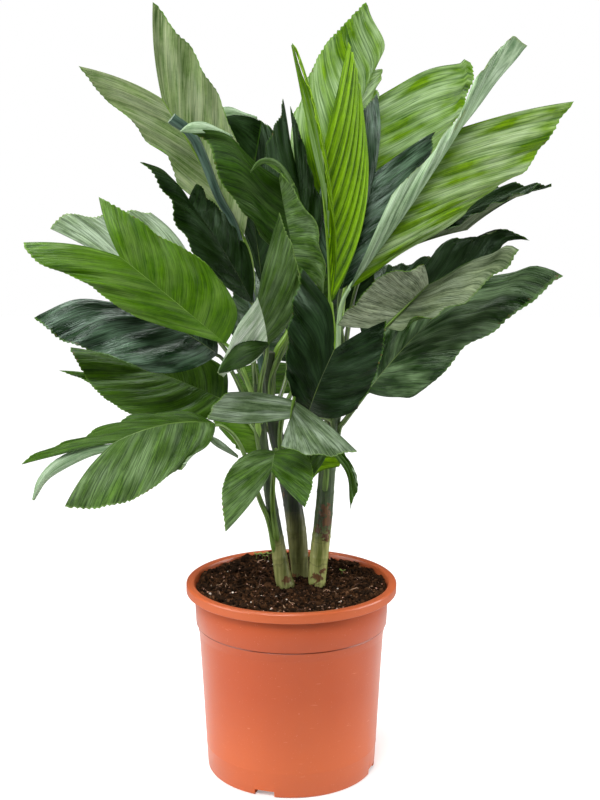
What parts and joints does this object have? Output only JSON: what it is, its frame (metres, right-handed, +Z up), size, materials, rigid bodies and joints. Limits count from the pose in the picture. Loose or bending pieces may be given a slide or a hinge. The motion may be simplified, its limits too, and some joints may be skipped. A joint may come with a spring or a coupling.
{
  "type": "potted metallic palm",
  "caption": "Bushy metallic palm with forked, tooth-edged, ribbed fronds on slender canes, standing in a soil-filled terracotta-coloured plastic nursery pot.",
  "frame": {"origin": "centre of the pot's underside, on the surface that the pot stands on", "axes": "+Z up along the pot, +X to the right and +Y away from the viewer of the plant's fuller side"},
  "size_m": [0.519, 0.3405, 0.755],
  "materials": {
    "pot_plastic": "satin",
    "soil": "matte",
    "cane": "satin",
    "stalk": "satin",
    "young_leaf": "satin",
    "bright_leaf": "satin",
    "mid_leaf": "satin",
    "dark_leaf": "satin",
    "blue_leaf": "satin",
    "pale_leaf": "satin"
  },
  "bodies": {
    "root": {"pot": "pot_plastic", "soil": "soil", "cane_left": "cane", "cane_middle": "cane", "cane_right": "cane", "cut_stalk_tall": "stalk", "frond_young_centre": "young_leaf", "frond_upper_right": "bright_leaf", "frond_centre_right": "blue_leaf", "frond_back_right": "bright_leaf", "frond_top": "bright_leaf", "frond_centre_dark": "dark_leaf", "frond_tucked_left": "dark_leaf", "frond_folded_left": "mid_leaf", "frond_upper_left": "pale_leaf", "frond_left_dark": "dark_leaf", "frond_left_bright": "bright_leaf", "frond_left_glossy": "blue_leaf", "frond_left_under": "mid_leaf", "frond_low_left": "mid_leaf", "frond_rear_low_left": "mid_leaf", "frond_rear_left": "dark_leaf", "frond_front_curled": "mid_leaf", "frond_front_dark": "dark_leaf", "frond_turned_right": "pale_leaf", "frond_low_right": "dark_leaf", "frond_shaded_right": "dark_leaf", "frond_far_right": "dark_leaf", "frond_front_draped": "pale_leaf", "frond_front_low": "mid_leaf", "frond_small_lime": "young_leaf", "frond_small_hanging": "mid_leaf", "frond_rear_high": "mid_leaf", "frond_rear_right": "bright_leaf", "frond_rear_low_right": "dark_leaf", "frond_rear_middle": "dark_leaf", "frond_rear_drooping": "mid_leaf"}
  },
  "joints": []
}
